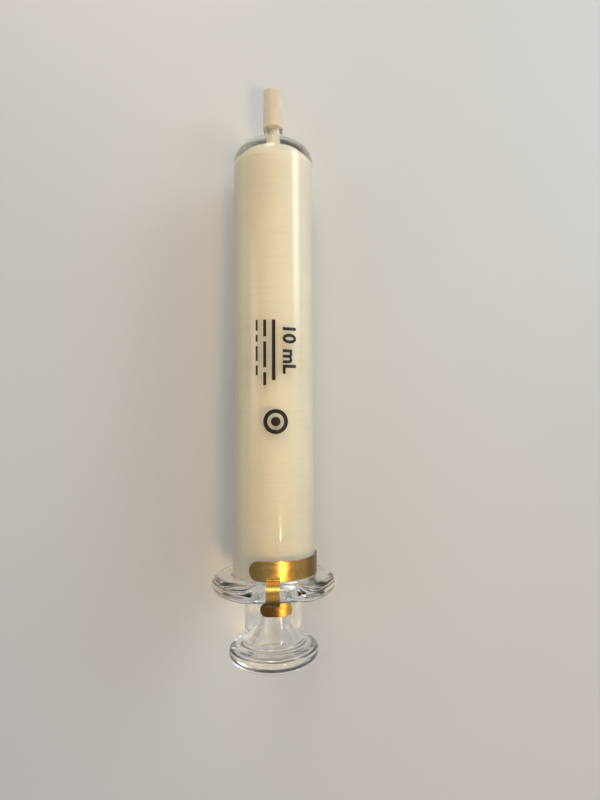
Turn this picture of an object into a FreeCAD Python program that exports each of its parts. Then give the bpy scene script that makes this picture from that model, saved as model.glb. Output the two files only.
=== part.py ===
import FreeCAD, Part

import math
import os

from FreeCAD import Placement, Rotation, Vector

# A 10 mL all-glass Luer syringe: a clear barrel with a domed shoulder and a ground conical tip,
# a hollow ground-glass plunger with a clear shank and a thumb knob, and a sprung brass clip that
# snaps round the barrel in front of the finger flange and reaches over it to hold the plunger in.
#
# Millimetres. The syringe lies on one flat of its finger flange, at z = 0. Its axis runs along Y
# at z = AXIS_Z, with the tip towards +Y, and y = 0 is halfway between the tip and the knob.
# Angles round the axis are in degrees from the top, positive towards +X.

# Overall
LENGTH = 122.2              # knob to tip, with the plunger pushed home
TIP_END_Y = LENGTH / 2
KNOB_END_Y = -LENGTH / 2
AXIS_Z = 11.3               # from the flat that it rests on up to the axis

# Finger flange
FLANGE_R = 12.9
FLANGE_T = 3.5
FLANGE_FRONT_Y = KNOB_END_Y + 18.4
FLANGE_BACK_Y = FLANGE_FRONT_Y - FLANGE_T
FLANGE_CORNER_ROUND = 2.0
FLANGE_RIM_ROUND = 1.45
FLANGE_ROOT_ROUND = 0.35

# Barrel
BARREL_R = 8.5
BORE_R = 7.05
SEAT_R = 8.72               # the tube swells slightly where the flange was worked on
SEAT_START_Y = FLANGE_FRONT_Y + 4.4
SWELL_START_Y = FLANGE_FRONT_Y + 8.0
SWELL_ROUND = 2.0
SHOULDER_Y = TIP_END_Y - 12.4   # where the sides would meet the sloping shoulder
SHOULDER_ROUND = 4.5
SHOULDER_SLOPE = 0.14       # rise of the shoulder towards the tip, per mm of radius
BORE_END_ROUND = 1.2
BORE_END_GAP = 0.3          # air left in front of the plunger when it is home
MOUTH_ROUND = 0.6

# Luer tip: 6 in 100 on diameter
TIP_END_R = 2.0
TIP_TAPER = 0.06
GROUND_LENGTH = 8.0
TIP_ROOT_R = 3.6            # the welded root, flush with the shoulder
WAIST_R = 2.0
WAIST_STEP = 0.8            # length over which the cone draws in to the waist
WAIST_ROUND = 1.2
LUMEN_R = 0.9

# Plunger
PLUNGER_R = 7.0             # runs in the bore with 0.05 mm all round
PLUNGER_FRONT_Y = TIP_END_Y - 16.2  # where the sides would meet the raised front face
PLUNGER_BACK_Y = FLANGE_FRONT_Y - 0.4
PLUNGER_FRONT_ROUND = 1.2
PLUNGER_DOME = 2.0          # height of the front face's raised middle
PLUNGER_DOME_R = 3.4        # radius of that middle
PLUNGER_DOME_ROUND = 2.5
PLUNGER_HOLLOW_R = 5.6
PLUNGER_HOLLOW_ROUND = 1.7
PLUNGER_END_T = 1.6
SHANK_R = 6.15
SHANK_TAPER = 1.7           # length over which the ground body draws in to the shank
KNOB_R = 9.4
KNOB_T = 3.9
KNOB_FRONT_ROUND = 1.3
KNOB_BACK_ROUND = 2.4
KNOB_ROOT_ROUND = 1.5
KNOB_FRONT_Y = KNOB_END_Y + KNOB_T
NECK_R = 2.3                # the hollow is narrowest along the shank
NECK_START_Y = PLUNGER_BACK_Y - 4.6
NECK_END_Y = KNOB_FRONT_Y + 4.2
BELL_R = 4.6                # the hollow flares again where it meets the knob
BELL_DEPTH = 0.6            # how far the hollow reaches into the knob

# Brass clip
CLIP_T = 0.38
CLIP_TURN = -4.0            # the clip sits turned round the barrel by this much
BAND_GAP = 0.04
BAND_R = SEAT_R + BAND_GAP  # inside of the band
BAND_BACK_Y = FLANGE_FRONT_Y + 0.4
BAND_WIDTH = 3.9
BAND_START = -31.9
BAND_SWEEP = 290.0
TONGUE_WIDTH = 2.7
FLEX_Y = FLANGE_FRONT_Y + 1.1   # line where the tongue bends out of the band
NOTCH_GAP = 0.12
NOTCH_FRONT_GAP = 0.04
TONGUE_OVER_R = 11.94       # middle of the strip where it crosses the flange's flat
TONGUE_FRONT_Y = FLANGE_FRONT_Y + 0.48
TONGUE_BACK_Y = FLANGE_BACK_Y - 0.55
ARCH_ROUNDS = (2.2, 2.2)     # bends in front of the flange and behind it
FOOT_GAP = 0.12             # between the foot and the plunger's ground body
FOOT_FRONT_Y = FLANGE_BACK_Y - 0.85
FOOT_LENGTH = 2.65
FOOT_WIDTH = 6.4
FOOT_OFFSET = 0.6           # the foot's lobes are not quite even

# Enamel fired on the barrel
ENAMEL_T = 0.05
LINE_WIDTH = 0.28
ML = 1000 / (math.pi * BORE_R ** 2)   # plunger travel for one millilitre
CAPACITY_ML = 10
TICKS_PER_ML = 5
SCALE_ANGLE = -126.0        # start of the scale's lines, on the barrel's left and underside
SHORT_TICK = 15.0           # degrees
LONG_TICK = 30.0
NUMERAL_ANGLE = -104.0
NUMERAL_HEIGHT = 2.6
NUMERAL_STROKE = 0.36
NUMERAL_PITCH = 0.86        # from one digit to the next, as a share of the height
MARK_ANGLE = -7.0           # middle of the front mark
MARK_TOP_Y = 9.4            # front mark: its end nearest the tip
MARK_HEIGHT = 3.1
MARK_STROKE = 0.62
MARK_X = 1.1                # from the barrel's top line to the middle of the letters
RULES = (                   # x, width, then each rule's distance from the mark's top and length
    (-0.6, 0.75, ((0, 12.6),)),
    (-2.3, 0.6, ((0, 3.4), (4.4, 5.2), (10.6, 2.6))),
    (-3.9, 0.42, ((0, 2.2), (3.0, 1.4), (5.3, 3.0), (9.2, 2.0))),
)
DOT_DROP = 20.5             # from the mark's top to the ringed dot
DOT_DIAMETERS = (5.0, 3.4, 1.9)

AXIS_POINT = Vector(0, 0, AXIS_Z)
ALONG = Vector(0, 1, 0)

# Numerals and letters as single strokes on a grid 4 wide and 6 high
STROKES = {
    "0": [[(1, 0), (3, 0), (4, 1.2), (4, 4.8), (3, 6), (1, 6), (0, 4.8), (0, 1.2), (1, 0)]],
    "1": [[(0.8, 4.9), (2, 6), (2, 0)]],
    "2": [[(0, 4.7), (1, 6), (3, 6), (4, 4.8), (3.8, 3.6), (0, 0), (4, 0)]],
    "3": [[(0, 5), (1, 6), (3, 6), (4, 4.8), (3.8, 3.7), (2.4, 3.2), (3.8, 2.6), (4, 1.2), (3, 0),
           (1, 0), (0, 1)]],
    "4": [[(3, 0), (3, 6), (0, 1.8), (4, 1.8)]],
    "5": [[(3.8, 6), (0.5, 6), (0.2, 3.3), (2.6, 3.6), (4, 2.6), (4, 1.2), (3, 0), (1, 0), (0, 1)]],
    "6": [[(3.6, 5.4), (2.6, 6), (1.2, 6), (0, 4.4), (0, 1.2), (1, 0), (3, 0), (4, 1.2), (4, 2.5),
           (3, 3.5), (1.2, 3.4), (0, 2.4)]],
    "7": [[(0, 6), (4, 6), (1.4, 0)]],
    "8": [[(1.2, 3.2), (0.2, 4.2), (0.2, 5), (1.2, 6), (2.8, 6), (3.8, 5), (3.8, 4.2), (2.8, 3.2),
           (1.2, 3.2), (0, 2.1), (0, 1.1), (1.1, 0), (2.9, 0), (4, 1.1), (4, 2.1), (2.8, 3.2)]],
    "9": [[(0.4, 0.6), (1.4, 0), (2.8, 0), (4, 1.6), (4, 4.8), (3, 6), (1, 6), (0, 4.8), (0, 3.5),
           (1, 2.5), (2.8, 2.6), (4, 3.6)]],
    "m": [[(0, 0), (0, 4)], [(0, 3.2), (1.2, 4), (2.2, 3.2), (2.2, 0)],
          [(2.2, 3.2), (3.4, 4), (4.4, 3.2), (4.4, 0)]],
    "L": [[(0, 6), (0, 0), (3.2, 0)]],
}


def rounded_wire(corners, place):
    """A closed wire through corners of (a, b, round radius), drawn where place(a, b) puts them."""
    flat = [Vector(a, b, 0) for a, b, _ in corners]
    edges, starts, ends = [], [], []
    for i, (_, _, radius) in enumerate(corners):
        here, before, after = flat[i], flat[i - 1], flat[(i + 1) % len(flat)]
        back, on = (before - here).normalize(), (after - here).normalize()
        half = back.getAngle(on) / 2
        if radius <= 0 or half > math.radians(89.9):
            starts.append(here)
            ends.append(here)
            edges.append(None)
            continue
        reach = radius / math.tan(half)
        middle = here + (back + on).normalize() * (radius / math.sin(half) - radius)
        starts.append(here + back * reach)
        ends.append(here + on * reach)
        edges.append(middle)
    path = []
    for i, middle in enumerate(edges):
        if middle is not None:
            points = [place(p.x, p.y) for p in (starts[i], middle, ends[i])]
            path.append(Part.Arc(*points).toShape())
        a, b = ends[i], starts[(i + 1) % len(flat)]
        if a.distanceToPoint(b) > 1e-6:
            path.append(Part.makeLine(place(a.x, a.y), place(b.x, b.y)))
    return Part.Wire(path)


def turned(corners):
    """A solid of revolution about the syringe's axis, from corners of (radius, y, round radius)."""
    wire = rounded_wire(corners, lambda radius, y: Vector(radius, y, AXIS_Z))
    return Part.Face(wire).revolve(AXIS_POINT, ALONG, 360)


def turn(shape, angle):
    """shape turned round the syringe's axis, positive from the top towards +X."""
    moved = shape.copy()
    moved.rotate(AXIS_POINT, ALONG, angle)
    return moved


def ring(inner, outer, y_from, y_to, start=0.0, sweep=360.0):
    """A ring about the axis, or a stretch of one."""
    corners = [Vector(0, y, AXIS_Z + r) for r, y in
               ((inner, y_from), (outer, y_from), (outer, y_to), (inner, y_to))]
    face = Part.Face(Part.makePolygon(corners + corners[:1]))
    return turn(face.revolve(AXIS_POINT, ALONG, sweep), start)


def bar(start, end, width):
    """A round-ended upright bar over the barrel's top line, from start to end in (x, y)."""
    a, b = Vector(*start, 0), Vector(*end, 0)
    low, height = AXIS_Z + 1, 2 * BARREL_R
    ends = [Part.makeCylinder(width / 2, height, Vector(p.x, p.y, low)) for p in (a, b)]
    if a.distanceToPoint(b) < 1e-6:
        return ends[0]
    side = (b - a).normalize().cross(Vector(0, 0, 1)) * (width / 2)
    lift = Vector(0, 0, low)
    corners = [p + s + lift for p, s in ((a, side), (b, side), (b, side * -1), (a, side * -1))]
    middle = Part.Face(Part.makePolygon(corners + corners[:1])).extrude(Vector(0, 0, height))
    return middle.fuse(ends).removeSplitter()


def on_surface(bars, radius, thickness):
    """The bars cut to a skin that lies on a cylinder of that radius."""
    solid = bars[0].fuse(bars[1:]) if len(bars) > 1 else bars[0]
    ys = [solid.BoundBox.YMin - 1, solid.BoundBox.YMax + 1]
    return solid.common(ring(radius, radius + thickness, *ys)).removeSplitter()


def strip(centre_line, thickness, width):
    """A bent strip of constant thickness, from a centre line of (y, height over axis, bend)."""
    points = [Vector(y, h, 0) for y, h, _ in centre_line]
    runs = [(b - a).normalize() for a, b in zip(points, points[1:])]
    sides = []
    for sign in (1, -1):
        side = []
        for i, (point, (_, _, bend)) in enumerate(zip(points, centre_line)):
            before, after = runs[max(i - 1, 0)], runs[min(i, len(runs) - 1)]
            normals = [Vector(-d.y, d.x, 0) for d in (before, after)]
            mean = (normals[0] + normals[1]).normalize()
            step = thickness / 2 / math.cos(mean.getAngle(normals[0]))
            corner = point + mean * (sign * step)
            turns_left = before.cross(after).z > 0
            change = -thickness / 2 if turns_left == (sign > 0) else thickness / 2
            side.append((corner.x, corner.y, bend + change if bend else 0))
        sides.append(side)
    outline = sides[0] + sides[1][::-1]
    wire = rounded_wire(outline, lambda y, h: Vector(-width / 2, y, AXIS_Z + h))
    return Part.Face(wire).extrude(Vector(width, 0, 0))


def shoulder_y(radius):
    """Height of the shoulder's sloping outside at a radius."""
    return SHOULDER_Y + (BARREL_R - radius) * SHOULDER_SLOPE


def bore_end_y(radius):
    """Height of the bore's closed end at a radius: it follows the plunger's front face."""
    slope = PLUNGER_DOME / (PLUNGER_R - PLUNGER_DOME_R)
    return PLUNGER_FRONT_Y + BORE_END_GAP + (BORE_R - radius) * slope


def barrel_tube():
    """The clear tube with its rounded mouth, its swollen seat for the clip and its shoulder."""
    inside = [
        (TIP_ROOT_R, bore_end_y(TIP_ROOT_R), 0),
        (BORE_R, bore_end_y(BORE_R), BORE_END_ROUND),
        (BORE_R, FLANGE_BACK_Y, MOUTH_ROUND),
    ]
    outside = [
        (SEAT_R, FLANGE_BACK_Y, 0),
        (SEAT_R, SEAT_START_Y, SWELL_ROUND),
        (BARREL_R, SWELL_START_Y, SWELL_ROUND),
        (BARREL_R, SHOULDER_Y, SHOULDER_ROUND),
        (TIP_ROOT_R, shoulder_y(TIP_ROOT_R), 0),
    ]
    return turned(inside + outside)


def luer_tip():
    """The tip's welded root, its clear waist and its ground cone, with the lumen through it."""
    ground_start = TIP_END_Y - GROUND_LENGTH
    ground_r = TIP_END_R + GROUND_LENGTH * TIP_TAPER / 2
    return turned([
        (LUMEN_R, bore_end_y(TIP_ROOT_R), 0.3),
        (TIP_ROOT_R, bore_end_y(TIP_ROOT_R), 0),
        (TIP_ROOT_R, shoulder_y(TIP_ROOT_R), 0),
        (WAIST_R, shoulder_y(WAIST_R), WAIST_ROUND),
        (WAIST_R, ground_start - WAIST_STEP, 0.4),
        (ground_r, ground_start, 0.5),
        (TIP_END_R, TIP_END_Y, 0.3),
        (LUMEN_R, TIP_END_Y, 0.15),
    ])


def finger_flange():
    """A thick ring with two flats, its rim rounded, welded round the tube's mouth."""
    disc = Part.makeCylinder(FLANGE_R, FLANGE_T, Vector(0, FLANGE_BACK_Y, AXIS_Z), ALONG)
    between = Part.makeBox(2 * FLANGE_R, FLANGE_T, 2 * AXIS_Z, Vector(-FLANGE_R, FLANGE_BACK_Y, 0))
    plate = disc.common(between)
    corners = [e for e in plate.Edges if is_along(e)]
    plate = plate.makeFillet(FLANGE_CORNER_ROUND, corners)
    rims = [e for e in plate.Edges if not is_along(e)]
    plate = plate.makeFillet(FLANGE_RIM_ROUND, rims)
    root = turned([
        (SEAT_R, FLANGE_FRONT_Y - 0.5, 0),
        (SEAT_R, FLANGE_FRONT_Y + FLANGE_ROOT_ROUND, 0),
        (SEAT_R + 0.01, FLANGE_FRONT_Y + FLANGE_ROOT_ROUND, 0),
        (SEAT_R + 0.01, FLANGE_FRONT_Y, FLANGE_ROOT_ROUND - 0.01),
        (SEAT_R + FLANGE_ROOT_ROUND, FLANGE_FRONT_Y, 0),
        (SEAT_R + FLANGE_ROOT_ROUND, FLANGE_FRONT_Y - 0.5, 0),
    ])
    hole = Part.makeCylinder(SEAT_R, 2 * FLANGE_T, Vector(0, FLANGE_BACK_Y - 1, AXIS_Z), ALONG)
    return plate.cut(hole).fuse(root).removeSplitter()


def is_along(edge):
    """True for a straight edge along the syringe's axis."""
    span = edge.Vertexes[-1].Point - edge.Vertexes[0].Point
    return len(edge.Vertexes) == 2 and abs(span.y) > 1e-6 and abs(span.x) + abs(span.z) < 1e-6


def plunger_body():
    """The ground tube with its closed front end, which is raised in the middle."""
    raised_y = PLUNGER_FRONT_Y + PLUNGER_DOME
    return turned([
        (0, raised_y, 0),
        (PLUNGER_DOME_R, raised_y, PLUNGER_DOME_ROUND),
        (PLUNGER_R, PLUNGER_FRONT_Y, PLUNGER_FRONT_ROUND),
        (PLUNGER_R, PLUNGER_BACK_Y, 0),
        (PLUNGER_HOLLOW_R, PLUNGER_BACK_Y, 0),
        (PLUNGER_HOLLOW_R, PLUNGER_FRONT_Y - PLUNGER_END_T, PLUNGER_HOLLOW_ROUND),
        (0, PLUNGER_FRONT_Y - PLUNGER_END_T, 0),
    ])


def plunger_shank():
    """The clear shank: its hollow narrows to a neck behind the ground body, then flares."""
    flare_r = SHANK_R + KNOB_ROOT_ROUND
    return turned([
        (PLUNGER_HOLLOW_R, PLUNGER_BACK_Y, 0),
        (PLUNGER_R, PLUNGER_BACK_Y, 0),
        (PLUNGER_R - 0.1, PLUNGER_BACK_Y - 0.5, 0.6),
        (SHANK_R, PLUNGER_BACK_Y - SHANK_TAPER, 1.5),
        (SHANK_R, KNOB_FRONT_Y, KNOB_ROOT_ROUND),
        (flare_r, KNOB_FRONT_Y, 0),
        (BELL_R, KNOB_FRONT_Y, 0),
        (NECK_R, NECK_END_Y, 3.0),
        (NECK_R, NECK_START_Y, 1.8),
        (PLUNGER_HOLLOW_R, PLUNGER_BACK_Y - 1.6, 1.2),
    ])


def plunger_knob():
    """The thumb knob: a thick round-edged disc that closes the hollow."""
    return turned([
        (0, KNOB_END_Y, 0),
        (KNOB_R, KNOB_END_Y, KNOB_BACK_ROUND),
        (KNOB_R, KNOB_FRONT_Y, KNOB_FRONT_ROUND),
        (BELL_R, KNOB_FRONT_Y, 0),
        (BELL_R - 0.3, KNOB_FRONT_Y - BELL_DEPTH, 0.6),
        (0, KNOB_FRONT_Y - BELL_DEPTH, 0),
    ])


def clip_band():
    """The open brass band, round-ended, with a notch where the tongue leaves it."""
    outer = BAND_R + CLIP_T
    end_turn = math.degrees(BAND_WIDTH / 2 / (BAND_R + CLIP_T / 2))
    start, sweep = BAND_START + end_turn, BAND_SWEEP - 2 * end_turn
    middle_y = BAND_BACK_Y + BAND_WIDTH / 2
    band = ring(BAND_R, outer, BAND_BACK_Y, BAND_BACK_Y + BAND_WIDTH, start, sweep)
    disc = on_surface([bar((0, middle_y), (0, middle_y), BAND_WIDTH)], BAND_R, CLIP_T)
    band = band.fuse([turn(disc, start), turn(disc, start + sweep)]).removeSplitter()
    width = TONGUE_WIDTH + 2 * NOTCH_GAP
    front = FLEX_Y + CLIP_T / 2 + NOTCH_FRONT_GAP
    corner = Vector(-width / 2, BAND_BACK_Y - 1, AXIS_Z + BARREL_R - 1)
    notch = Part.makeBox(width, front - BAND_BACK_Y + 1, 3, corner)
    return turn(band.cut(notch), CLIP_TURN)


def clip_tongue():
    """The sprung tongue that arches over the flange's flat to a two-lobed foot on the plunger."""
    flex_r = BAND_R + CLIP_T / 2
    foot_r = PLUNGER_R + FOOT_GAP
    foot_mid = foot_r + CLIP_T / 2
    arch = strip([
        (FLEX_Y, flex_r, 0),
        (TONGUE_FRONT_Y, flex_r, 0.4),
        (TONGUE_FRONT_Y - 0.05, TONGUE_OVER_R, ARCH_ROUNDS[0]),
        (TONGUE_BACK_Y, TONGUE_OVER_R, ARCH_ROUNDS[1]),
        (TONGUE_BACK_Y - 0.05, foot_mid, 0.45),
        (FOOT_FRONT_Y - 0.3, foot_mid, 0),
    ], CLIP_T, TONGUE_WIDTH)
    root_start = Vector(-TONGUE_WIDTH / 2, FLEX_Y, AXIS_Z + flex_r)
    root = Part.makeCylinder(CLIP_T / 2, TONGUE_WIDTH, root_start, Vector(1, 0, 0))
    foot_y = FOOT_FRONT_Y - FOOT_LENGTH / 2
    half = (FOOT_WIDTH - FOOT_LENGTH) / 2
    lobes = [bar((FOOT_OFFSET - half, foot_y), (FOOT_OFFSET + half, foot_y), FOOT_LENGTH)]
    foot = on_surface(lobes, foot_r, CLIP_T)
    return turn(arch.fuse([root, foot]).removeSplitter(), CLIP_TURN)


def glyph_bars(character, height, line_width):
    """One numeral's or letter's strokes as bars, its lower left corner at x = 0, y = 0."""
    grid = height / 6
    for stroke in STROKES[character]:
        for (ax, ay), (bx, by) in zip(stroke, stroke[1:]):
            yield bar((ax * grid, ay * grid), (bx * grid, by * grid), line_width)


def glyph(character, height, line_width, x, y, quarter_turn=False):
    """A raised numeral or letter; a quarter turn makes it read along the barrel."""
    bars = list(glyph_bars(character, height, line_width))
    spin = Rotation(Vector(0, 0, 1), -90 if quarter_turn else 0)
    for piece in bars:
        piece.Placement = Placement(Vector(x, y, 0), spin).multiply(piece.Placement)
    return on_surface(bars, BARREL_R, ENAMEL_T)


def graduation_scale():
    """Short lines each fifth of a millilitre, long ones and a numeral each millilitre."""
    outer = BARREL_R + ENAMEL_T
    marks = []
    for tick in range(CAPACITY_ML * TICKS_PER_ML + 1):
        y = PLUNGER_FRONT_Y - tick * ML / TICKS_PER_ML
        sweep = SHORT_TICK if tick % TICKS_PER_ML else LONG_TICK
        if y + LINE_WIDTH / 2 < SHOULDER_Y - SHOULDER_ROUND:
            marks.append(ring(BARREL_R, outer, y - LINE_WIDTH / 2, y + LINE_WIDTH / 2,
                              SCALE_ANGLE - sweep, sweep))
    for value in range(1, CAPACITY_ML + 1):
        text = str(value)
        y = PLUNGER_FRONT_Y - value * ML - NUMERAL_HEIGHT / 2
        width = NUMERAL_HEIGHT * (NUMERAL_PITCH * (len(text) - 1) + 4 / 6)
        for place, digit in enumerate(text):
            x = place * NUMERAL_HEIGHT * NUMERAL_PITCH - width / 2
            marks.append(turn(glyph(digit, NUMERAL_HEIGHT, NUMERAL_STROKE, x, y), NUMERAL_ANGLE))
    return Part.makeCompound(marks)


def front_mark():
    """The capacity in plain figures, with plain rules beside it and a ringed dot below."""
    marks = []
    y = MARK_TOP_Y
    for character, advance in (("1", 0.75), ("0", 1.15), ("m", 1.0), ("L", 0)):
        marks.append(glyph(character, MARK_HEIGHT, MARK_STROKE, MARK_X, y, quarter_turn=True))
        y -= advance * MARK_HEIGHT
    for x, width, runs in RULES:
        for drop, length in runs:
            ends = ((x, MARK_TOP_Y - drop), (x, MARK_TOP_Y - drop - length))
            marks.append(on_surface([bar(*ends, width)], BARREL_R, ENAMEL_T))
    centre = (0, MARK_TOP_Y - DOT_DROP)
    disc, hole, dot = (on_surface([bar(centre, centre, diameter)], BARREL_R, ENAMEL_T)
                       for diameter in DOT_DIAMETERS)
    marks += [disc.cut(hole), dot]
    return turn(Part.makeCompound(marks), MARK_ANGLE)


PARTS = (barrel_tube, luer_tip, finger_flange, plunger_body, plunger_shank, plunger_knob,
         clip_band, clip_tongue, graduation_scale, front_mark)

os.makedirs("parts", exist_ok=True)
for make in PARTS:
    shape = make()
    solids = shape.Solids
    shape = solids[0] if len(solids) == 1 else Part.makeCompound(solids)
    shape.exportStep(f"parts/{make.__name__}.step")
    box = shape.BoundBox
    print(f"{make.__name__}: {len(solids)} solids, valid {shape.isValid()}, "
          f"volume {shape.Volume:.2f} mm3, x {box.XMin:.2f} {box.XMax:.2f}, "
          f"y {box.YMin:.2f} {box.YMax:.2f}, z {box.ZMin:.2f} {box.ZMax:.2f}")
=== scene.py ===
import math

import bmesh
import bpy
from bpy.props import FloatProperty, FloatVectorProperty, IntProperty, PointerProperty, StringProperty
from bpy.types import Operator, Panel, PropertyGroup
from mathutils import Matrix, Vector, noise


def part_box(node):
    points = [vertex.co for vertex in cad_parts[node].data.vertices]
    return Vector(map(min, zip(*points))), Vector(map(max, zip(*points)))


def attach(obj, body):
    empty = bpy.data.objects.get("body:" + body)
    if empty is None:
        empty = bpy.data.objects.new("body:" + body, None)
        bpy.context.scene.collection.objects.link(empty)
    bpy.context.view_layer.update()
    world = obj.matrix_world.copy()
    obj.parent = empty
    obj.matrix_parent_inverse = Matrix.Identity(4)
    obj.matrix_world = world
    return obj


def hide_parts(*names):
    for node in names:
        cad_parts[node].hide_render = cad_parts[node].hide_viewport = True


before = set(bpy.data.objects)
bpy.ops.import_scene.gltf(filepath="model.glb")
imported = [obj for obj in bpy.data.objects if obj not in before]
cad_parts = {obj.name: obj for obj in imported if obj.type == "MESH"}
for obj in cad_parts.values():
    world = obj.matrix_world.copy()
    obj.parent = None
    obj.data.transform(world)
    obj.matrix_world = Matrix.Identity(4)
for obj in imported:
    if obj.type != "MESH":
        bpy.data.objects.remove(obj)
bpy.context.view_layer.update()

bl_info = {
    "name": "Glass Syringe",
    "version": (1, 0, 0),
    "blender": (4, 5, 0),
    "location": "3D View > Sidebar > Syringe",
    "description": "Builds the glass, brass and enamel of a 10 mL glass syringe round its packed frame",
    "category": "Add Mesh",
}

MM = 0.001

# The frame gives the places: the syringe's axis runs along Y, half way up the barrel.
TUBE_LOW, TUBE_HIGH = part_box("barrel_tube")
FLANGE_LOW, FLANGE_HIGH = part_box("finger_flange")
TIP_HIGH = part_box("luer_tip")[1]
BODY_LOW, BODY_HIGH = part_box("plunger_body")
KNOB_LOW, KNOB_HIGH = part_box("plunger_knob")
AXIS_Z = (TUBE_LOW.z + TUBE_HIGH.z) / 2

BORE_R = 7.05 * MM              # the bore that the scale is reckoned from
LUER_TAPER = 0.06               # on diameter
WAIST_STEP = 0.8 * MM
SHOULDER_SLOPE = 0.14
GLASS_IOR = 1.49
CLEAR_SHADOW = (0.93, 0.94, 0.935)

# Sides of the turned surfaces, and the longest run along each outline
BARREL_SIDES, PLUNGER_SIDES, HOLLOW_SIDES = 192, 160, 128
BARREL_RUN = 1.6 * MM
PLUNGER_RUN = 1.5 * MM

# Breadth of the hollows that worked glass strays by, across and along
FLANGE_STRAY = (3.5 * MM, 5.0 * MM)
KNOB_STRAY = (4.0 * MM, 6.0 * MM)

# The barrel's lesser sizes
TIP_ROUND = 0.35 * MM
CONE_ROOT_ROUND = 0.6 * MM
WAIST_FRONT_ROUND = 0.5 * MM
WAIST_BACK_ROUND = 1.2 * MM
SWELL_ROUND = 4.0 * MM
FLANGE_ROOT_ROUND = 0.35 * MM
MOUTH_ROUND = 0.6 * MM
MOUTH_WIDTH = 1.2 * MM          # from the bore to where the flange's back face starts
DISC_START = 0.4 * MM           # from the tube's outside to where the flange starts to stray
FLAT_EASE = 0.9 * MM            # how softly the flange's round sides meet its flats
WARM_START = 1.3 * MM           # from the cone's root back to where its ground finish has faded out

# The plunger's lesser sizes
BODY_BACK_ROUND = 0.5 * MM
GROUND_END = 0.1 * MM           # how far the ground finish runs past the body's back
SHANK_TAPER = 1.7 * MM          # length over which the ground body draws in to the shank
SHANK_ROUND = 1.5 * MM
HOLLOW_BACK = 1.6 * MM          # from the ground body's back to the end of the straight hollow
HOLLOW_BACK_ROUND = 1.6 * MM
NECK_START_ROUND = 1.8 * MM
NECK_END_ROUND = 3.0 * MM
BELL_LIP = 0.6 * MM
BELL_ROUND = 0.5 * MM
BELL_END_ROUND = 0.4 * MM
WORKED_RUN = 3 * MM             # length over which flame-worked glass starts to stray or lean

# The scale: the start of its lines and the numerals, and how far the lines reach round the barrel
SCALE_AT = math.radians(-126)
NUMERALS_AT = math.radians(-104)
SHORT_LINE = math.radians(15)
LONG_LINE = math.radians(30)
NUMERAL_WEIGHT = 0.012
LEGEND_WEIGHT = 0.03
MARK_GAP = 0.004 * MM           # between the glass and the enamel's underside
MARK_STEP = 0.25 * MM           # the longest flat stretch of a mark round the barrel

# The clip's sheared edges
EDGE_SOFTNESS = 0.07 * MM
EDGE_ANGLE = math.radians(50)

# Where painted shade darkens the brass, each from where it is bright to where it is darkest: the band's
# ends in x, and in y the bend behind the flange. The foot's right lobe is spared the shade and left as a
# painted highlight.
BAND_LEFT_SHADE = (-1.5 * MM, -4.5 * MM)
BAND_RIGHT_SHADE = (5.0 * MM, 7.4 * MM)
BEND_SHADE = (-44.4 * MM, -46.0 * MM)
FOOT = (-46.6 * MM, -47.2 * MM)
FOOT_RIGHT = (0.3 * MM, 2.0 * MM)

# The front mark, in mm: each rule's x and width, then its distance from the top and its length
RULES = ((-0.4, 0.7, ((0.0, 12.2),)),
         (-2.2, 0.6, ((0.0, 3.4), (4.4, 5.2), (10.6, 2.6))),
         (-3.9, 0.42, ((0.0, 2.2), (3.0, 1.4), (5.3, 3.0), (9.2, 2.0))))
LEGEND_DROP = 6.2 * MM
DOT_DROP = 20.5 * MM
DOT_RINGS = ((2.5 * MM, 1.7 * MM), (0.95 * MM, 0.0))


# Where the floor touches: in front of the flange's back face, and short of the shoulder
FLAT_REST = 2.2 * MM
TUBE_REST = 3.5 * MM
FLOOR_GAP = 0.02 * MM
FLOOR_REACH = 1.5

ROOM_COLOUR = (0.66, 0.71, 0.80)
ROOM_STRENGTH = 0.38

# Each light's name, place, size, colour and soft share, in metres
LIGHTS = (
    ("key", (0.38, 0.20, 0.20), (0.46, 0.28), (0.76, 0.92, 1.0), 0.45),
    ("fill", (-0.45, 0.06, 0.28), (0.3, 0.3), (0.9, 0.94, 1.0), 0.45),
    ("top", (-0.05, 0.25, 0.22), (0.18, 0.14), (1.0, 0.80, 0.50), 0.45),
    ("lamp", (0.122, -0.130, 0.34), (0.012, 0.14), (1.0, 0.62, 0.20), 0.3),
)


# ---------------------------------------------------------------------------------------------
# Settings


def length(name, description, default):
    """A size in metres that the sidebar shows as a length."""
    return FloatProperty(name=name, description=description, default=default, unit="LENGTH",
                         subtype="DISTANCE", precision=5)


def colour(name, description, default):
    """A linear colour that the sidebar shows as a swatch."""
    return FloatVectorProperty(name=name, description=description, default=default,
                               subtype="COLOR", size=3, min=0.0, max=1.0)


class BarrelSettings(PropertyGroup):
    """Sizes of the barrel, its flange and its tip."""
    radius: length("Barrel radius", "Outside of the clear tube", 8.5 * MM)
    contact: length("Contact", "How far the bore's glass is let into the ground surface", 0.015 * MM)
    swell: length("Seat radius", "Outside of the tube under the clip", TUBE_HIGH.x)
    swell_start: length("Swell start", "From the flange to where the swell starts", 8.0 * MM)
    swell_end: length("Swell end", "From the flange to where the swell is full", 4.4 * MM)
    shoulder: length("Shoulder", "From the shoulder's meeting point to the tip's end", 12.4 * MM)
    shoulder_round: length("Shoulder round", "Radius of the shoulder's edge", 4.5 * MM)
    ground_length: length("Ground length", "Length of the ground cone", 8.0 * MM)
    tip_end: length("Tip radius", "Radius of the cone's small end", 2.0 * MM)
    waist: length("Waist radius", "Radius of the clear waist behind the cone", 2.0 * MM)
    lumen: length("Lumen radius", "Radius of the passage through the tip", 0.9 * MM)
    flange: length("Flange thickness", "Thickness of the finger flange", 3.5 * MM)
    flange_rim: length("Rim round", "Radius of the flange's rounded edge", 1.5 * MM)
    waviness: length("Waviness", "How far the worked glass strays from true", 0.09 * MM)


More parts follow.
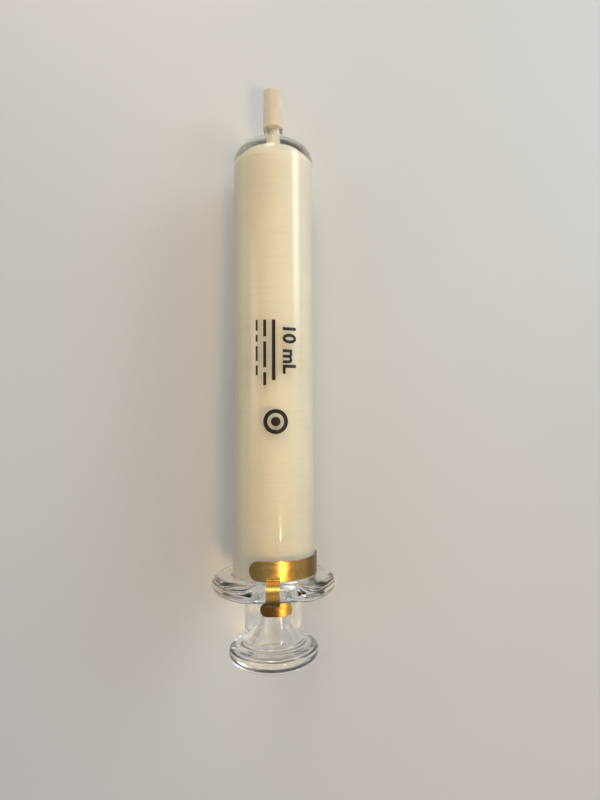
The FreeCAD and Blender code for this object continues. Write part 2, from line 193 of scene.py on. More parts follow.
class PlungerSettings(PropertyGroup):
    """Sizes of the plunger."""
    hollow: length("Hollow radius", "Inside of the ground body", 5.6 * MM)
    end_wall: length("End wall", "Glass at the closed front end", 1.6 * MM)
    dome: length("Dome", "How far the front face is raised in its middle", 2.0 * MM)
    dome_r: length("Dome radius", "Radius of the raised middle", 3.4 * MM)
    dome_round: length("Dome round", "Radius of the raised middle's edge", 2.5 * MM)
    front_round: length("Front round", "Radius of the front edge", 1.2 * MM)
    hollow_round: length("Hollow round", "Radius of the hollow's closed end", 1.7 * MM)
    shank: length("Shank radius", "Outside of the clear shank", 6.15 * MM)
    neck: length("Neck radius", "The hollow where it is narrowest", 2.3 * MM)
    neck_start: length("Neck start", "From the ground body to the neck", 4.6 * MM)
    neck_end: length("Neck end", "From the knob to the neck", 4.2 * MM)
    bell: length("Bell radius", "The hollow where it meets the knob", 4.6 * MM)
    bell_depth: length("Bell depth", "How far the hollow reaches into the knob", 0.6 * MM)
    knob_front: length("Knob front round", "Radius of the knob's front edge", 1.3 * MM)
    knob_back: length("Knob back round", "Radius of the knob's back edge", 2.4 * MM)
    knob_lean: FloatProperty(name="Knob lean", description="Slope of the knob, set on by hand",
                             default=0.014)
    waviness: length("Waviness", "How far the worked glass strays from true", 0.06 * MM)


class MarkSettings(PropertyGroup):
    """Sizes of the fired enamel marks."""
    thickness: length("Enamel", "How far the enamel stands out of the glass", 0.045 * MM)
    line: length("Line width", "Width of a graduation line", 0.26 * MM)
    numeral: length("Numeral height", "Height of the scale's numerals", 2.6 * MM)
    capacity: IntProperty(name="Capacity", description="Millilitres on the scale", default=10, min=1)
    per_ml: IntProperty(name="Lines per mL", description="Graduations in a millilitre", default=5, min=1)
    legend: StringProperty(name="Legend", description="Capacity printed on the front", default="10 mL")
    legend_height: length("Legend height", "Height of the legend's letters", 3.0 * MM)
    legend_x: length("Legend place", "From the barrel's top line to the legend", 1.4 * MM)
    mark_top: length("Mark top", "The front mark's end nearest the tip", 9.8 * MM)


class FinishSettings(PropertyGroup):
    """Colours of the materials, linear."""
    clear: colour("Clear glass", "What clear glass lets through", (0.975, 0.985, 0.98))
    ground: colour("Ground glass", "The plunger's ground surface", (0.82, 0.765, 0.62))
    ground_shade: colour("Ground shade", "Thinner grinding and old handling", (0.68, 0.62, 0.51))
    cone: colour("Ground cone", "The tip's ground surface", (0.99, 0.87, 0.69))
    brass: colour("Brass", "Bright worn brass", (0.80, 0.51, 0.15))
    # Also the colour that the clip's painted shade darkens towards.
    tarnish: colour("Tarnish", "Dulled brass", (0.13, 0.06, 0.02))
    enamel: colour("Enamel", "Fired dark brown enamel", (0.018, 0.008, 0.006))
    floor: colour("Floor", "The plain floor", (0.80, 0.83, 0.88))


class StageSettings(PropertyGroup):
    """Camera and lights."""
    eye: FloatVectorProperty(name="Eye", description="Where the camera stands", size=3,
                             default=(-6.7 * MM, -10.5 * MM, 139.9 * MM), unit="LENGTH")
    aim: FloatVectorProperty(name="Aim", description="The point that it looks at", size=3,
                             default=(5.7 * MM, -6.1 * MM, 11.3 * MM), unit="LENGTH")
    roll: FloatProperty(name="Roll", description="Turn of the camera about its line of sight",
                        default=math.radians(-0.18), unit="ROTATION")
    lens: FloatProperty(name="Lens", description="Focal length on a 36 mm long side", default=27.05,
                        min=1.0, unit="CAMERA")
    key_power: FloatProperty(name="Key power", description="Large soft light on the right",
                             default=2.6, unit="POWER")
    fill_power: FloatProperty(name="Fill power", description="Soft light on the left",
                              default=0.6, unit="POWER")
    top_power: FloatProperty(name="Top power", description="Warm soft light beyond the tip",
                             default=1.0, unit="POWER")
    lamp_power: FloatProperty(name="Lamp power", description="Small warm lamp that draws the streak",
                              default=0.64, unit="POWER")


# ---------------------------------------------------------------------------------------------
# Mesh helpers


def rounded(corners, turn_step=math.radians(9)):
    """Points along an outline of (radius, y, round), with each rounded corner as an arc."""
    points = []
    flat = [Vector((r, y)) for r, y, _ in corners]
    for i, (_, _, radius) in enumerate(corners):
        here = flat[i]
        if radius <= 0 or i in (0, len(flat) - 1):
            points.append(here)
            continue
        back = (flat[i - 1] - here).normalized()
        on = (flat[i + 1] - here).normalized()
        half = back.angle(on) / 2
        start = here + back * (radius / math.tan(half))
        centre = here + (back + on).normalized() * (radius / math.sin(half))
        sweep = math.pi - 2 * half
        steps = max(2, math.ceil(sweep / turn_step))
        clockwise = back.x * on.y - back.y * on.x > 0
        spoke = start - centre
        for k in range(steps + 1):
            angle = sweep * k / steps * (-1 if clockwise else 1)
            points.append(centre + Matrix.Rotation(angle, 2) @ spoke)
    return points


def spread(points, longest):
    """The same outline with extra points, so that no run is longer than longest."""
    out = [points[0]]
    for a, b in zip(points, points[1:]):
        if (b - a).length < 1e-7:
            continue
        steps = max(1, math.ceil((b - a).length / longest))
        out += [a.lerp(b, k / steps) for k in range(1, steps + 1)]
    return out


def around(radius, y, angle):
    """The point at a radius and an angle from the top, positive towards +X."""
    return Vector((radius * math.sin(angle), y, AXIS_Z + radius * math.cos(angle)))


def lathe(bm, outline, segments, shape=None, material=lambda a, b: 0, closed=False):
    """Adds a turned surface to bm. A point at radius 0 is a pole; shape(r, y, angle) moves points."""
    rings, faces = [], []
    for r, y in outline:
        if r < 1e-7:
            rings.append([bm.verts.new((0, y, AXIS_Z))])
            continue
        ring = []
        for k in range(segments):
            angle = 2 * math.pi * k / segments
            radius, along = shape(r, y, angle) if shape else (r, y)
            ring.append(bm.verts.new(around(radius, along, angle)))
        rings.append(ring)
    pairs = list(zip(rings, rings[1:], outline, outline[1:]))
    if closed:
        pairs.append((rings[-1], rings[0], outline[-1], outline[0]))
    for a, b, at_a, at_b in pairs:
        for k in range(segments):
            n = (k + 1) % segments
            corners = [a[k % len(a)], a[n % len(a)], b[n % len(b)], b[k % len(b)]]
            corners = [v for i, v in enumerate(corners) if v not in corners[:i]]
            face = bm.faces.new(corners)
            face.material_index = material(at_a, at_b)
            face.smooth = True
            faces.append(face)
    bmesh.ops.recalc_face_normals(bm, faces=faces)
    return faces


def as_object(name, bm, materials):
    """A mesh object made from bm."""
    mesh = bpy.data.meshes.new(name)
    bm.to_mesh(mesh)
    bm.free()
    for material in materials:
        mesh.materials.append(material)
    obj = bpy.data.objects.new(name, mesh)
    bpy.context.scene.collection.objects.link(obj)
    return obj


def soft_min(a, b, reach):
    """The smaller of two lengths, eased where they are nearly equal."""
    near = max(reach - abs(a - b), 0.0) / reach
    return min(a, b) - near * near * reach / 4


def stray(x, y, z, size, amount):
    """A small smooth random length for a place on worked glass."""
    return noise.noise(Vector((x, y, z)) / size) * amount


# ---------------------------------------------------------------------------------------------
# Material helpers


class Nodes:
    """A short way to write a material's node tree."""

    def __init__(self, name):
        self.material = bpy.data.materials.get(name) or bpy.data.materials.new(name)
        self.material.use_nodes = True
        self.tree = self.material.node_tree
        self.tree.nodes.clear()
        self.output = self.add("ShaderNodeOutputMaterial")
        self.coords = self.add("ShaderNodeTexCoord").outputs["Object"]

    def add(self, kind, **values):
        """Adds a node; a value for an input that has a name with spaces uses underscores."""
        node = self.tree.nodes.new(kind)
        for key, value in values.items():
            socket = node.inputs.get(key.replace("_", " "))
            if socket is None:
                setattr(node, key, value)
            elif isinstance(value, bpy.types.NodeSocket):
                self.tree.links.new(value, socket)
            else:
                socket.default_value = value
        return node

    def scaled(self, x, y, z):
        """The object's coordinates stretched along its axes."""
        return self.add("ShaderNodeMapping", Vector=self.coords, Scale=(x, y, z)).outputs[0]

    def noise(self, scale, detail=3.0, roughness=0.5, vector=None):
        return self.add("ShaderNodeTexNoise", Vector=vector or self.coords, Scale=scale,
                        Detail=detail, Roughness=roughness).outputs[0]

    def ramp(self, value, low, high, out_low=0.0, out_high=1.0):
        """A smooth step from out_low to out_high as value goes from low to high."""
        node = self.add("ShaderNodeMapRange", interpolation_type="SMOOTHSTEP")
        for key, item in (("Value", value), ("From Min", low), ("From Max", high),
                          ("To Min", out_low), ("To Max", out_high)):
            if isinstance(item, bpy.types.NodeSocket):
                self.tree.links.new(item, node.inputs[key])
            else:
                node.inputs[key].default_value = item
        return node.outputs[0]

    def math(self, operation, a, b=0.0):
        node = self.add("ShaderNodeMath", operation=operation)
        for socket, item in zip(node.inputs, (a, b)):
            if isinstance(item, bpy.types.NodeSocket):
                self.tree.links.new(item, socket)
            else:
                socket.default_value = item
        return node.outputs[0]

    def mix(self, share, first, second):
        """A colour between first and second."""
        node = self.add("ShaderNodeMix", data_type="RGBA")
        sockets = (node.inputs[0], node.inputs[6], node.inputs[7])
        for socket, item in zip(sockets, (share, first, second)):
            if isinstance(item, bpy.types.NodeSocket):
                self.tree.links.new(item, socket)
            else:
                socket.default_value = (*item, 1.0) if isinstance(item, (tuple, list)) else item
        return node.outputs[2]

    def bump(self, height, strength, distance):
        return self.add("ShaderNodeBump", Height=height, Strength=strength,
                        Distance=distance).outputs[0]

    def blend(self, share, first, second):
        """A shader between first and second."""
        node = self.add("ShaderNodeMixShader")
        for socket, item in zip(node.inputs, (share, first, second)):
            self.tree.links.new(item, socket)
        return node.outputs[0]

    def finish(self, shader):
        self.tree.links.new(shader, self.output.inputs["Surface"])
        return self.material


def rgb(value):
    """A colour property as a plain tuple."""
    return tuple(value[:3])


def let_lamps_through(n, glass, tint):
    """Clear glass whose shadow is only a faint tint, so that what is inside it is lit."""
    clear = n.add("ShaderNodeBsdfTransparent", Color=(*tint, 1.0)).outputs[0]
    return n.blend(n.add("ShaderNodeLightPath").outputs["Is Shadow Ray"], glass, clear)


def clear_glass(finish):
    """Drawn and flame-worked glass: faint waves along the draw, smears and fine rubs."""
    n = Nodes("clear_glass")
    waves = n.noise(140.0, 2.0, 0.4, n.scaled(1.0, 0.18, 1.0))
    ripple = n.noise(620.0, 2.0, 0.5)
    height = n.math("ADD", waves, n.math("MULTIPLY", ripple, 0.12))
    smear = n.ramp(n.noise(260.0, 4.0, 0.6, n.scaled(1.0, 0.5, 1.0)), 0.52, 0.72)
    rubs = n.ramp(n.noise(2600.0, 2.0, 0.6, n.scaled(1.0, 0.05, 1.0)), 0.66, 0.74)
    haze = n.math("ADD", n.math("MULTIPLY", smear, 0.035), n.math("MULTIPLY", rubs, 0.05))
    glass = n.add("ShaderNodeBsdfPrincipled", Base_Color=(*rgb(finish.clear), 1.0),
                  Transmission_Weight=1.0, IOR=GLASS_IOR,
                  Roughness=n.math("ADD", haze, 0.08),
                  Normal=n.bump(height, 0.10, 0.0006))
    return n.finish(let_lamps_through(n, glass.outputs[0], CLEAR_SHADOW))


def ground_glass(finish):
    """Ground white glass: a fine even grain, faint turning lines and patches of handling."""
    n = Nodes("ground_glass")
    grain = n.noise(5200.0, 2.0, 0.7)
    lines = n.noise(900.0, 2.0, 0.6, n.scaled(0.15, 3.0, 0.15))
    patches = n.noise(70.0, 4.0, 0.55, n.scaled(1.0, 0.6, 1.0))
    shade = n.math("ADD", n.math("MULTIPLY", n.ramp(patches, 0.35, 0.7), 0.45),
                   n.math("MULTIPLY", n.ramp(lines, 0.4, 0.7), 0.18))
    height = n.math("ADD", grain, n.math("MULTIPLY", lines, 0.5))
    shader = n.add("ShaderNodeBsdfPrincipled",
                   Base_Color=n.mix(shade, rgb(finish.ground), rgb(finish.ground_shade)),
                   Roughness=n.ramp(grain, 0.3, 0.7, 0.5, 0.66), IOR=GLASS_IOR,
                   Subsurface_Weight=0.35, Subsurface_Scale=0.002,
                   Subsurface_Radius=(1.0, 0.9, 0.75),
                   Normal=n.bump(height, 0.35, 0.00003))
    return n.finish(shader.outputs[0])


def ground_cone(finish, start):
    """The tip's ground cone: warm and half see-through, thinning out into clear glass at start."""
    n = Nodes("ground_cone")
    grain = n.noise(5600.0, 2.0, 0.7)
    lines = n.noise(1500.0, 2.0, 0.6, n.scaled(0.2, 2.4, 0.2))
    cloud = n.noise(420.0, 3.0, 0.5)
    ground = n.add("ShaderNodeBsdfPrincipled",
                   Base_Color=n.mix(n.ramp(cloud, 0.3, 0.7, 0.0, 0.6), rgb(finish.cone),
                                    tuple(c * 0.86 for c in rgb(finish.cone))),
                   Roughness=n.ramp(grain, 0.3, 0.7, 0.42, 0.6), IOR=GLASS_IOR,
                   Transmission_Weight=0.16,
                   Subsurface_Weight=0.3, Subsurface_Scale=0.001,
                   Normal=n.bump(n.math("ADD", grain, lines), 0.4, 0.00003))
    clear = n.add("ShaderNodeBsdfPrincipled", Base_Color=(*rgb(finish.clear), 1.0),
                  Transmission_Weight=1.0, IOR=GLASS_IOR, Roughness=0.06)
    along = n.add("ShaderNodeSeparateXYZ", Vector=n.coords).outputs["Y"]
    uneven = n.math("MULTIPLY", n.math("SUBTRACT", cloud, 0.5), 0.5 * MM)
    fade = n.ramp(n.math("ADD", along, uneven), start - 0.95 * MM, start - 0.05 * MM)
    return n.finish(n.blend(fade, let_lamps_through(n, clear.outputs[0], CLEAR_SHADOW),
                            ground.outputs[0]))


def brass(finish):
    """Rolled brass strip: streaks along the roll, dull patches and spots, painted shade at the band's
    ends and past the tongue's bend, and the foot's right lobe left as a painted highlight.
    """
    n = Nodes("brass")
    streaks = n.noise(2400.0, 3.0, 0.65, n.scaled(0.12, 1.0, 0.12))
    dull = n.ramp(n.noise(330.0, 5.0, 0.62), 0.42, 0.68)
    spots = n.ramp(n.noise(1900.0, 2.0, 0.5), 0.66, 0.74)
    tarnish = n.math("ADD", n.math("MULTIPLY", dull, 0.42), n.math("MULTIPLY", spots, 0.35))
    place = n.add("ShaderNodeSeparateXYZ", Vector=n.coords)
    across, along = place.outputs["X"], place.outputs["Y"]
    # Painted shade: the band darkens towards both of its ends.
    painted_end_shade = n.math("MAXIMUM", n.ramp(across, *BAND_LEFT_SHADE, 0.0, 0.55),
                  n.ramp(across, *BAND_RIGHT_SHADE, 0.0, 0.8))
    # Painted shade down the tongue past its bend, lifted from the foot's right lobe, which stays bright
    # as a painted highlight.
    painted_foot_highlight = n.math("MULTIPLY", n.ramp(along, *FOOT), n.ramp(across, *FOOT_RIGHT))
    painted_bend_shade = n.math("MULTIPLY", n.ramp(along, *BEND_SHADE, 0.0, 0.85), n.math("SUBTRACT", 1.0, painted_foot_highlight))
    # The real tarnish patches and spots and the painted shade all darken towards the same dull colour.
    tarnish = n.math("MAXIMUM", tarnish, n.math("MAXIMUM", painted_end_shade, painted_bend_shade))
    rough = n.math("ADD", n.ramp(streaks, 0.3, 0.7, 0.24, 0.38), n.math("MULTIPLY", dull, 0.16))
    shader = n.add("ShaderNodeBsdfPrincipled",
                   Base_Color=n.mix(tarnish, rgb(finish.brass), rgb(finish.tarnish)),
                   Metallic=1.0, Roughness=rough,
                   Normal=n.bump(n.math("ADD", streaks, n.math("MULTIPLY", dull, 0.6)),
                                 0.25, 0.00004))
    return n.finish(shader.outputs[0])


def enamel(finish):
    """Fired enamel: dark brown, slightly glossy, thin and browner where it is worn."""
    n = Nodes("enamel")
    wear = n.ramp(n.noise(1500.0, 4.0, 0.65), 0.56, 0.74)
    grain = n.noise(7000.0, 2.0, 0.6)
    worn = tuple(min(1.0, c * 3.2 + 0.02) for c in rgb(finish.enamel))
    shader = n.add("ShaderNodeBsdfPrincipled",
                   Base_Color=n.mix(wear, rgb(finish.enamel), worn),
                   Roughness=n.ramp(grain, 0.3, 0.7, 0.28, 0.48), IOR=1.5,
                   Normal=n.bump(grain, 0.3, 0.00002))
    return n.finish(shader.outputs[0])


def plain_floor(finish):
    """A plain pale surface with the faintest unevenness."""
    n = Nodes("plain_floor")
    cloud = n.noise(9.0, 2.0, 0.5)
    fine = n.noise(900.0, 2.0, 0.6)
    base = rgb(finish.floor)
    shader = n.add("ShaderNodeBsdfPrincipled",
                   Base_Color=n.mix(n.ramp(cloud, 0.3, 0.7, 0.0, 1.0), base,
                                    tuple(c * 0.96 for c in base)),
                   Roughness=n.ramp(fine, 0.3, 0.7, 0.5, 0.58), IOR=1.45,
                   Normal=n.bump(fine, 0.1, 0.00005))
    return n.finish(shader.outputs[0])


# ---------------------------------------------------------------------------------------------
# Pieces


class SYRINGE_OT_barrel(Operator):
    """Build the barrel, its finger flange and its tip as one piece of glass"""
    bl_idname = "syringe.barrel"
    bl_label = "Barrel"

    def execute(self, context):
        s = context.scene.syringe_barrel
        finish = context.scene.syringe_finish
        tip_end, mouth = TIP_HIGH.y, TUBE_LOW.y
        shoulder = tip_end - s.shoulder
        flange_front = mouth + s.flange
        flange_r, flat = FLANGE_HIGH.x, (FLANGE_HIGH.z - FLANGE_LOW.z) / 2
        ground_start = tip_end - s.ground_length
        cone_root = s.tip_end + LUER_TAPER / 2 * s.ground_length
        bore = BODY_HIGH.x - s.contact
        plunger = context.scene.syringe_plunger
        dome_end = BODY_HIGH.y - s.contact
        bore_end = dome_end - plunger.dome
        outline = spread(rounded([
            (s.lumen, tip_end, 0),
            (s.tip_end, tip_end, TIP_ROUND),
            (cone_root, ground_start, CONE_ROOT_ROUND),
            (s.waist, ground_start - WAIST_STEP, WAIST_FRONT_ROUND),
            (s.waist, shoulder + (s.radius - s.waist) * SHOULDER_SLOPE, WAIST_BACK_ROUND),
            (s.radius, shoulder, s.shoulder_round),
            (s.radius, flange_front + s.swell_start, SWELL_ROUND),
            (s.swell, flange_front + s.swell_end, SWELL_ROUND),
            (s.swell, flange_front, FLANGE_ROOT_ROUND),
            (flange_r, flange_front, s.flange_rim),
            (flange_r, mouth, s.flange_rim),
            (bore + MOUTH_WIDTH, mouth, 0),
            (bore, mouth, MOUTH_ROUND),
            (bore, bore_end, plunger.front_round - s.contact),
            (plunger.dome_r, dome_end, plunger.dome_round),
            (s.lumen, dome_end, 0),
        ]), BARREL_RUN)
        disc_from = s.swell + DISC_START

        def shape(r, y, angle):
            """Draws the disc in to its two flats and lets its surface stray."""
            flange_share = max(0.0, (r - disc_from) / (flange_r - s.flange_rim - disc_from))
            if flange_share > 0:
                inset = flange_r - r
                far = flat - inset if flange_share >= 1 else (
                    disc_from + (flat - s.flange_rim - disc_from) * flange_share)
                r = soft_min(r, far / max(abs(math.cos(angle)), 0.05), FLAT_EASE)
            rim = min(1.0, flange_share)
            x, z = math.sin(angle) * r, math.cos(angle) * r
            r += stray(x, y, z, FLANGE_STRAY[0], s.waviness) * rim
            y += stray(z, x, y, FLANGE_STRAY[1], s.waviness * 1.6) * rim
            return r, y

        def region(a, b):
            """Which material a stretch has: 0 clear, 1 the ground cone, 2 the lumen's matt wall."""
            if max(a[0], b[0]) <= s.lumen:
                return 2
            return 1 if min(a[1], b[1]) > ground_start - WARM_START else 0

        bm = bmesh.new()
        lathe(bm, outline, BARREL_SIDES, shape, region, closed=True)
        barrel = as_object("barrel_glass", bm, [clear_glass(finish), ground_cone(finish, ground_start),
                                                ground_glass(finish)])
        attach(barrel, "barrel")
        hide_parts("barrel_tube", "finger_flange", "luer_tip")
        return {"FINISHED"}


class SYRINGE_OT_plunger(Operator):
    """Build the plunger's ground body, clear shank and knob as one piece of glass"""
    bl_idname = "syringe.plunger"
    bl_label = "Plunger"

    def execute(self, context):
        s = context.scene.syringe_plunger
        finish = context.scene.syringe_finish
        raised, back = BODY_HIGH.y, BODY_LOW.y
        front = raised - s.dome
        body_r = BODY_HIGH.x
        knob_r, knob_front, knob_end = KNOB_HIGH.x, KNOB_HIGH.y, KNOB_LOW.y
        outer = spread(rounded([
            (0, raised, 0),
            (s.dome_r, raised, s.dome_round),
            (body_r, front, s.front_round),
            (body_r, back, BODY_BACK_ROUND),
            (s.shank, back - SHANK_TAPER, SHANK_ROUND),
            (s.shank, knob_front, SHANK_ROUND),
            (knob_r, knob_front, s.knob_front),
            (knob_r, knob_end, s.knob_back),
            (0, knob_end, 0),
        ]), PLUNGER_RUN)
        inner = spread(rounded([
            (0, front - s.end_wall, 0),
            (s.hollow, front - s.end_wall, s.hollow_round),
            (s.hollow, back - HOLLOW_BACK, HOLLOW_BACK_ROUND),
            (s.neck, back - s.neck_start, NECK_START_ROUND),
            (s.neck, knob_front + s.neck_end, NECK_END_ROUND),
            (s.bell, knob_front, BELL_ROUND),
            (s.bell - BELL_LIP, knob_front - s.bell_depth, BELL_END_ROUND),
            (0, knob_front - s.bell_depth, 0),
        ]), PLUNGER_RUN)

        def shape(r, y, angle):
            """Lets the clear part stray and leans the knob; the ground part stays true."""
            worked = min(1.0, max(0.0, (back - y) / WORKED_RUN))
            x, z = math.sin(angle) * r, math.cos(angle) * r
            r += stray(x, y, z, KNOB_STRAY[0], s.waviness) * worked
            y += stray(z, x, y, KNOB_STRAY[1], s.waviness) * worked
            leans = min(1.0, max(0.0, 1.0 - (y - knob_front) / WORKED_RUN))
            return r, y + x * s.knob_lean * leans

        def region(a, b):
            """Which material a stretch has: 0 the clear shank and knob, 1 the ground body."""
            return 1 if min(a[1], b[1]) > back - GROUND_END else 0

        bm = bmesh.new()
        lathe(bm, outer, PLUNGER_SIDES, shape, region)
        hollow = lathe(bm, inner, HOLLOW_SIDES, shape)
        bmesh.ops.reverse_faces(bm, faces=hollow)
        plunger = as_object("plunger_glass", bm, [clear_glass(finish), ground_glass(finish)])
        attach(plunger, "plunger")
        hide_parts("plunger_body", "plunger_shank", "plunger_knob")
        return {"FINISHED"}


class SYRINGE_OT_clip(Operator):
    """Give the clip's band and tongue their brass and soften their sheared edges"""
    bl_idname = "syringe.clip"
    bl_label = "Clip"

    def execute(self, context):
        metal = brass(context.scene.syringe_finish)
        for node in ("clip_band", "clip_tongue"):
            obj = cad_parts[node]
            for slot in obj.material_slots:
                slot.material = metal
            soften = obj.modifiers.new("soft_edges", "BEVEL")
            soften.width = EDGE_SOFTNESS
            soften.segments = 2
            soften.limit_method = "ANGLE"
            soften.angle_limit = EDGE_ANGLE
            soften.harden_normals = True
        return {"FINISHED"}


def wrapped(bm, radius, thickness):
    """Cuts flat marks up in x, wraps them round the barrel from its top line and raises them."""
    low = min(v.co.x for v in bm.verts)
    high = max(v.co.x for v in bm.verts)
    for k in range(1, int((high - low) / MARK_STEP) + 1):
        cut = Vector((low + k * MARK_STEP, 0, 0))
        bmesh.ops.bisect_plane(bm, geom=bm.verts[:] + bm.edges[:] + bm.faces[:], plane_co=cut,
                               plane_no=(1, 0, 0))
    raised = bmesh.ops.extrude_face_region(bm, geom=bm.faces[:], use_keep_orig=True)
    lifted = {v for v in raised["geom"] if isinstance(v, bmesh.types.BMVert)}
    for v in bm.verts:
        r = radius + (thickness if v in lifted else MARK_GAP)
        v.co = around(r, v.co.y, v.co.x / radius)
    bmesh.ops.recalc_face_normals(bm, faces=bm.faces)


def flat_text(bm, text, height, weight, place):
    """Adds lettering of a cap height to bm, moved by place."""
    curve = bpy.data.curves.new("lettering", "FONT")
    curve.body = text
    curve.size = 1.0
    curve.offset = weight
    curve.resolution_u = 4
    obj = bpy.data.objects.new("lettering", curve)
    bpy.context.scene.collection.objects.link(obj)
    bpy.context.view_layer.update()
    mesh = bpy.data.meshes.new_from_object(obj.evaluated_get(bpy.context.evaluated_depsgraph_get()))
    bpy.data.objects.remove(obj)
    bpy.data.curves.remove(curve)
    xs, ys = [v.co.x for v in mesh.vertices], [v.co.y for v in mesh.vertices]
    scale = height / (max(ys) - min(ys))
    middle = Vector(((max(xs) + min(xs)) / 2, min(ys), 0))
    mesh.transform(place @ Matrix.Scale(scale, 4) @ Matrix.Translation(-middle))
    bm.from_mesh(mesh)
    bpy.data.meshes.remove(mesh)


def flat_bar(bm, x_from, x_to, y_from, y_to):
    """Adds a flat rectangle to bm."""
    corners = [(x_from, y_from), (x_to, y_from), (x_to, y_to), (x_from, y_to)]
    bm.faces.new([bm.verts.new((x, y, 0)) for x, y in corners])


def flat_ring(bm, x, y, outer, inner, sides=48):
    """Adds a flat ring to bm, or a disc if inner is 0."""
    circles = []
    for radius in (outer, inner):
        circles.append([bm.verts.new((x + radius * math.cos(2 * math.pi * k / sides),
                                      y + radius * math.sin(2 * math.pi * k / sides), 0))
                        for k in range(sides)] if radius else None)
    if circles[1] is None:
        bm.faces.new(circles[0])
        return
    for k in range(sides):
        n = (k + 1) % sides
        bm.faces.new([circles[0][k], circles[0][n], circles[1][n], circles[1][k]])


class SYRINGE_OT_scale(Operator):
    """Draw the graduation lines and numerals in enamel on the barrel's left side"""
    bl_idname = "syringe.scale"
    bl_label = "Scale"

    def execute(self, context):
        s = context.scene.syringe_marks
        barrel = context.scene.syringe_barrel
        radius = barrel.radius
        ml = 1e-6 / (math.pi * BORE_R ** 2)
        zero = BODY_HIGH.y - context.scene.syringe_plunger.dome
        bm = bmesh.new()
        for tick in range(1, s.capacity * s.per_ml + 1):
            y = zero - tick * ml / s.per_ml
            sweep = SHORT_LINE if tick % s.per_ml else LONG_LINE
            flat_bar(bm, radius * (SCALE_AT - sweep), radius * SCALE_AT,
                     y - s.line / 2, y + s.line / 2)
        for value in range(1, s.capacity + 1):
            place = Matrix.Translation((radius * NUMERALS_AT, zero - value * ml - s.numeral / 2, 0))
            flat_text(bm, str(value), s.numeral, NUMERAL_WEIGHT, place)
        wrapped(bm, radius, s.thickness)
        marks = as_object("scale_enamel", bm, [enamel(context.scene.syringe_finish)])
        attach(marks, "barrel")
        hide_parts("graduation_scale")
        return {"FINISHED"}


class SYRINGE_OT_front_mark(Operator):
    """Print the capacity with plain rules and a ringed dot in enamel on the barrel's front"""
    bl_idname = "syringe.front_mark"
    bl_label = "Front Mark"

    def execute(self, context):
        s = context.scene.syringe_marks
        radius = context.scene.syringe_barrel.radius
        bm = bmesh.new()
        reads_down = Matrix.Rotation(-math.pi / 2, 4, "Z")
        place = Matrix.Translation((s.legend_x, s.mark_top - LEGEND_DROP, 0)) @ reads_down
        flat_text(bm, s.legend, s.legend_height, LEGEND_WEIGHT, place)
        for x, width, runs in RULES:
            for drop, run in runs:
                flat_bar(bm, (x - width / 2) * MM, (x + width / 2) * MM,
                         s.mark_top - (drop + run) * MM, s.mark_top - drop * MM)
        for outer, inner in DOT_RINGS:
            flat_ring(bm, 0, s.mark_top - DOT_DROP, outer, inner)
        wrapped(bm, radius, s.thickness)
        marks = as_object("front_enamel", bm, [enamel(context.scene.syringe_finish)])
        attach(marks, "barrel")
        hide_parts("front_mark")
        return {"FINISHED"}


def area_light(name, place, aim, size, power, tint, soft):
    """A rectangular light that faces aim, and fades over the soft share of it at each edge."""
    data = bpy.data.lights.new(name, "AREA")
    data.shape = "RECTANGLE"
    data.size, data.size_y = size
    data.energy = power
    data.color = tint
    data.use_nodes = True
    nodes, links = data.node_tree.nodes, data.node_tree.links
    emission = nodes["Emission"]
    across = nodes.new("ShaderNodeSeparateXYZ")
    links.new(nodes.new("ShaderNodeNewGeometry").outputs["Parametric"], across.inputs[0])
    strength = None
    for axis in ("X", "Y"):
        for edge in (0.0, 1.0):
            step = nodes.new("ShaderNodeMapRange")
            step.interpolation_type = "SMOOTHSTEP"
            step.inputs["From Min"].default_value = edge
            step.inputs["From Max"].default_value = abs(edge - soft)
            links.new(across.outputs[axis], step.inputs["Value"])
            if strength is None:
                strength = step.outputs[0]
                continue
            both = nodes.new("ShaderNodeMath")
            both.operation = "MULTIPLY"
            links.new(strength, both.inputs[0])
            links.new(step.outputs[0], both.inputs[1])
            strength = both.outputs[0]
    links.new(strength, emission.inputs["Strength"])
    light = bpy.data.objects.new(name, data)
    light.location = place
    light.rotation_euler = (Vector(aim) - Vector(place)).to_track_quat("-Z", "Y").to_euler()
    bpy.context.scene.collection.objects.link(light)


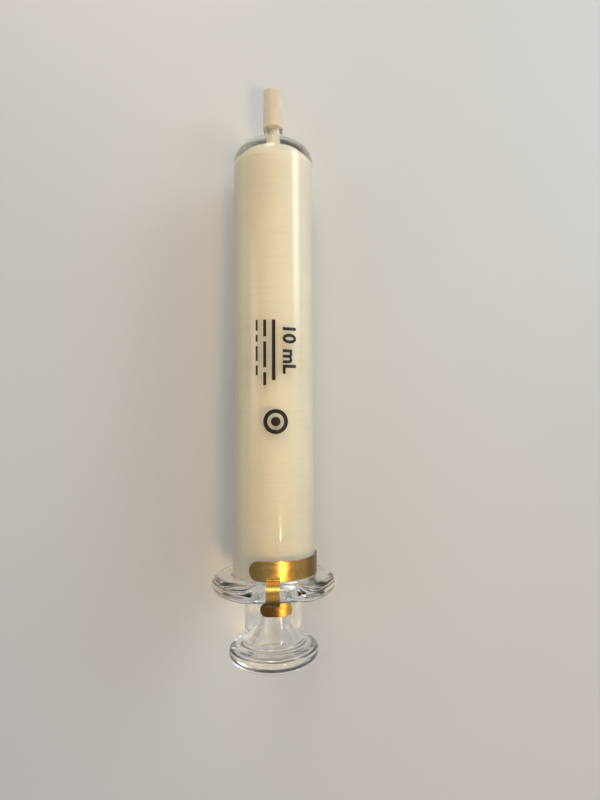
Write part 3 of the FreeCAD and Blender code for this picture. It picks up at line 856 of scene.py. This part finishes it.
class SYRINGE_OT_stage(Operator):
    """Set up the plain floor, the soft lights and the camera"""
    bl_idname = "syringe.stage"
    bl_label = "Stage"

    def execute(self, context):
        s = context.scene.syringe_stage
        finish = context.scene.syringe_finish
        scene = context.scene
        # The floor touches the flange's lower flat and the barrel's underside at the shoulder.
        near = Vector((0, FLANGE_LOW.y + FLAT_REST, FLANGE_LOW.z))
        barrel = context.scene.syringe_barrel
        far = Vector((0, TIP_HIGH.y - barrel.shoulder - TUBE_REST, AXIS_Z - barrel.radius))
        lean = math.atan2(far.z - near.z, far.y - near.y)
        bm = bmesh.new()
        bmesh.ops.create_grid(bm, x_segments=4, y_segments=4, size=FLOOR_REACH)
        bmesh.ops.transform(bm, verts=bm.verts, matrix=(
            Matrix.Translation(near - Vector((0, 0, FLOOR_GAP))) @ Matrix.Rotation(lean, 4, "X")))
        floor = as_object("floor", bm, [plain_floor(finish)])

        world = bpy.data.worlds.new("soft_room")
        world.use_nodes = True
        back = world.node_tree.nodes["Background"]
        back.inputs["Color"].default_value = (*ROOM_COLOUR, 1.0)
        back.inputs["Strength"].default_value = ROOM_STRENGTH
        scene.world = world

        centre = (0.0, 0.0, AXIS_Z)
        for name, place, size, tint, soft in LIGHTS:
            area_light(name, place, centre, size, getattr(s, name + "_power"), tint, soft)

        camera = bpy.data.objects.new("camera", bpy.data.cameras.new("camera"))
        camera.data.lens = s.lens
        camera.data.sensor_width = 36.0
        camera.data.clip_start = 0.005
        eye, aim = Vector(s.eye), Vector(s.aim)
        ahead = (aim - eye).normalized()
        right = Matrix.Rotation(-s.roll, 3, ahead) @ ahead.cross(Vector((0, 1, 0))).normalized()
        camera.matrix_world = Matrix.Translation(eye) @ Matrix(
            (right, right.cross(ahead), -ahead)).transposed().to_4x4()
        scene.collection.objects.link(camera)
        scene.camera = camera
        scene.view_settings.view_transform = "Standard"
        return {"FINISHED"}


class SYRINGE_PT_sidebar(Panel):
    """Lists the pieces and their settings"""
    bl_idname = "SYRINGE_PT_sidebar"
    bl_label = "Glass Syringe"
    bl_space_type = "VIEW_3D"
    bl_region_type = "UI"
    bl_category = "Syringe"

    def draw(self, context):
        layout = self.layout
        for operator in OPERATORS:
            layout.operator(operator.bl_idname)
        for name in SETTINGS:
            box = layout.box()
            group = getattr(context.scene, name)
            for key in group.bl_rna.properties.keys():
                if key not in ("rna_type", "name"):
                    box.prop(group, key)


SETTINGS = {
    "syringe_barrel": BarrelSettings,
    "syringe_plunger": PlungerSettings,
    "syringe_marks": MarkSettings,
    "syringe_finish": FinishSettings,
    "syringe_stage": StageSettings,
}
OPERATORS = (SYRINGE_OT_barrel, SYRINGE_OT_plunger, SYRINGE_OT_clip, SYRINGE_OT_scale,
             SYRINGE_OT_front_mark, SYRINGE_OT_stage)


def register():
    for cls in (*SETTINGS.values(), *OPERATORS, SYRINGE_PT_sidebar):
        bpy.utils.register_class(cls)
    for name, group in SETTINGS.items():
        setattr(bpy.types.Scene, name, PointerProperty(type=group))


def unregister():
    for name in SETTINGS:
        delattr(bpy.types.Scene, name)
    for cls in reversed((*SETTINGS.values(), *OPERATORS, SYRINGE_PT_sidebar)):
        bpy.utils.unregister_class(cls)


def main():
    """Builds everything in order."""
    register()
    for operator in OPERATORS:
        group, name = operator.bl_idname.split(".")
        getattr(getattr(bpy.ops, group), name)()


if __name__ == "__main__":
    main()
